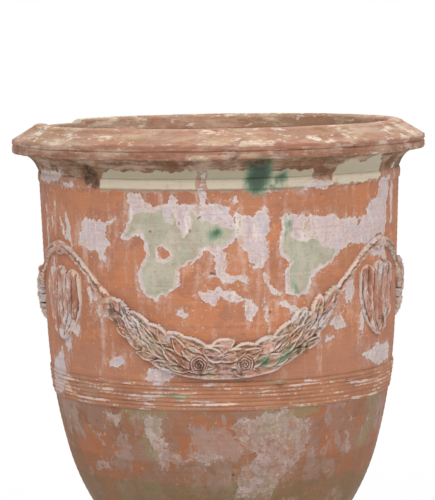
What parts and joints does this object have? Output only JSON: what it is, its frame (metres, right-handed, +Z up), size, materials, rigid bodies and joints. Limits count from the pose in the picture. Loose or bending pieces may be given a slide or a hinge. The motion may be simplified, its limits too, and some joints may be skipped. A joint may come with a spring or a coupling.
{
  "type": "terracotta urn",
  "caption": "Large footed garden urn in worn glazed terracotta, bell-shaped, with a moulded rim, leafy garlands, shell medallions and a reeded band, open on top with a drain hole.",
  "frame": {"origin": "on the ground, under the middle of the foot", "axes": "+Z up, -Y towards the front garland, which the picture faces, +X to the viewer's right"},
  "size_m": [0.7, 0.7, 0.8508],
  "materials": {
    "fired_clay": "matte fired clay with traces of slip",
    "worn_glaze": "fired clay with worn patches of pale slip and grey-green glaze",
    "cream_glaze": "worn cream glaze",
    "sprig_clay": "moulded clay with slip and green glaze in the hollows"
  },
  "bodies": {
    "root": {"foot": "fired_clay", "bowl": "fired_clay", "upper_wall": "worn_glaze", "rim": "worn_glaze", "neck_bead": "cream_glaze", "reeded_band": "fired_clay", "garland_front": "sprig_clay", "garland_right": "sprig_clay", "garland_left": "sprig_clay", "rosettes_front": "sprig_clay", "rosettes_right": "sprig_clay", "rosettes_left": "sprig_clay", "tie_right": "sprig_clay", "tie_left": "sprig_clay", "tie_back": "sprig_clay", "medallion_right": "sprig_clay", "medallion_left": "sprig_clay", "medallion_back": "sprig_clay"}
  },
  "joints": []
}
